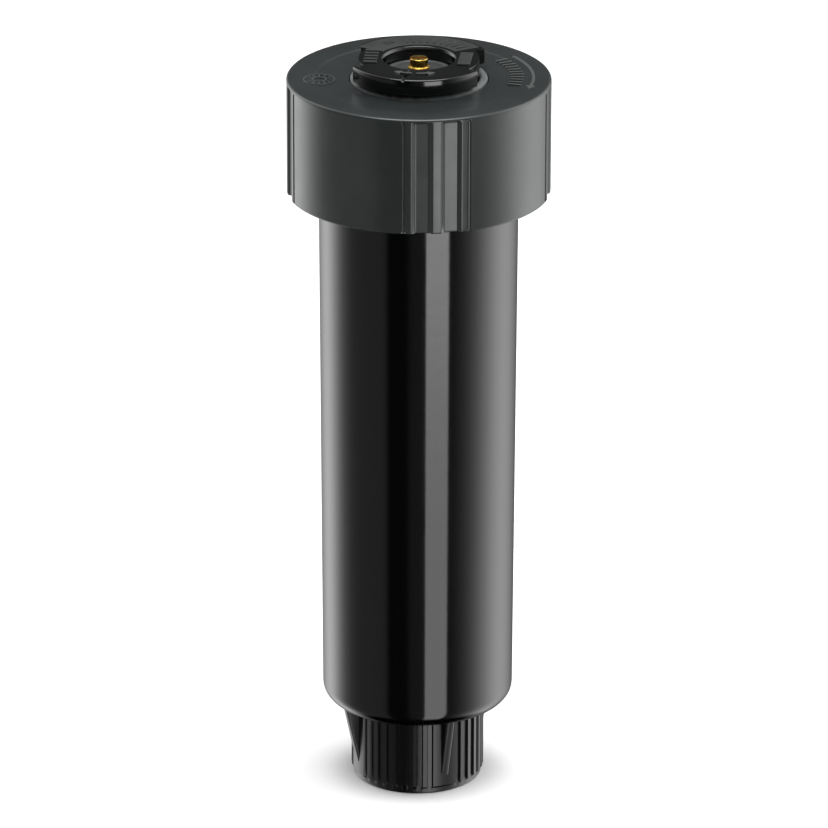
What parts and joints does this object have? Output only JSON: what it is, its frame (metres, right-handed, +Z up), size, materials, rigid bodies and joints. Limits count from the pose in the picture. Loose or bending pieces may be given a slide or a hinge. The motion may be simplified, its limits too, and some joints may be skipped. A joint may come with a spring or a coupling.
{
  "type": "pop up sprinkler",
  "caption": "Pop-up spray sprinkler: threaded inlet boss, tapered barrel, grip-fluted screw cap, wiper seal and a sprung riser with a notched sector nozzle and brass radius screw.",
  "frame": {"origin": "on the sprinkler's axis, at the bottom face of the inlet boss, with the riser retracted", "axes": "+Z up along the sprinkler's axis, from the inlet to the nozzle head; -Y faces the front grip group of the cap"},
  "size_m": [0.057, 0.057, 0.1671],
  "materials": {
    "body_plastic": "glossy black moulded ABS",
    "cap_plastic": "satin dark grey moulded ABS",
    "nozzle_plastic": "semi-gloss black moulded plastic",
    "core_plastic": "satin dark grey moulded plastic",
    "riser_plastic": "smooth black moulded tube",
    "filter_plastic": "dark grey fine moulded mesh",
    "acetal": "natural white acetal",
    "seal_rubber": "grey elastomer",
    "black_rubber": "black rubber",
    "spring_steel": "drawn stainless spring wire",
    "brass": "turned brass"
  },
  "bodies": {
    "housing": {"body_shell": "body_plastic", "cap": "cap_plastic", "wiper_seal": "seal_rubber", "seal_retainer": "acetal", "retract_spring": "spring_steel"},
    "ratchet_carriage": {"ratchet_ring": "acetal", "spring_washer": "acetal"},
    "riser": {"riser_tube": "riser_plastic", "riser_ratchet": "acetal", "riser_base_seal": "black_rubber", "filter_frame": "filter_plastic", "filter_mesh": "filter_plastic", "nozzle_gasket": "black_rubber", "nozzle_base": "nozzle_plastic", "deflector_core": "core_plastic", "sector_friction_ring": "black_rubber", "screw_o_ring": "black_rubber"},
    "sector_collar": {"sector_ring": "nozzle_plastic"},
    "radius_screw": {"adjusting_screw": "brass", "screw_clip": "spring_steel"},
    "throttle": {"throttle_plug": "acetal"}
  },
  "joints": [
    {"name": "riser_lift", "type": "slide", "parent": "housing", "child": "ratchet_carriage", "axis": [0, 0, 1], "range_m": [0, 0.1], "stiffness_N_per_m": 200, "springref_m": -0.05, "deforming": ["retract_spring"]},
    {"name": "riser_turn", "type": "hinge", "parent": "ratchet_carriage", "child": "riser", "pos_m": [0, 0, 0.03], "axis": [0, 0, 1], "continuous": true},
    {"name": "sector_turn", "type": "hinge", "parent": "riser", "child": "sector_collar", "pos_m": [0, 0, 0.165], "axis": [0, 0, 1], "range_deg": [0, 180]},
    {"name": "screw_turn", "type": "hinge", "parent": "riser", "child": "radius_screw", "pos_m": [0, 0, 0.165], "axis": [0, 0, -1], "range_deg": [0, 2016]},
    {"name": "throttle_lift", "type": "slide", "parent": "riser", "child": "throttle", "axis": [0, 0, 1], "range_m": [0, 0.0028]}
  ],
  "couplings": [
    {"joint": "screw_turn", "follows": "throttle_lift", "rad_per_m": 12566}
  ]
}
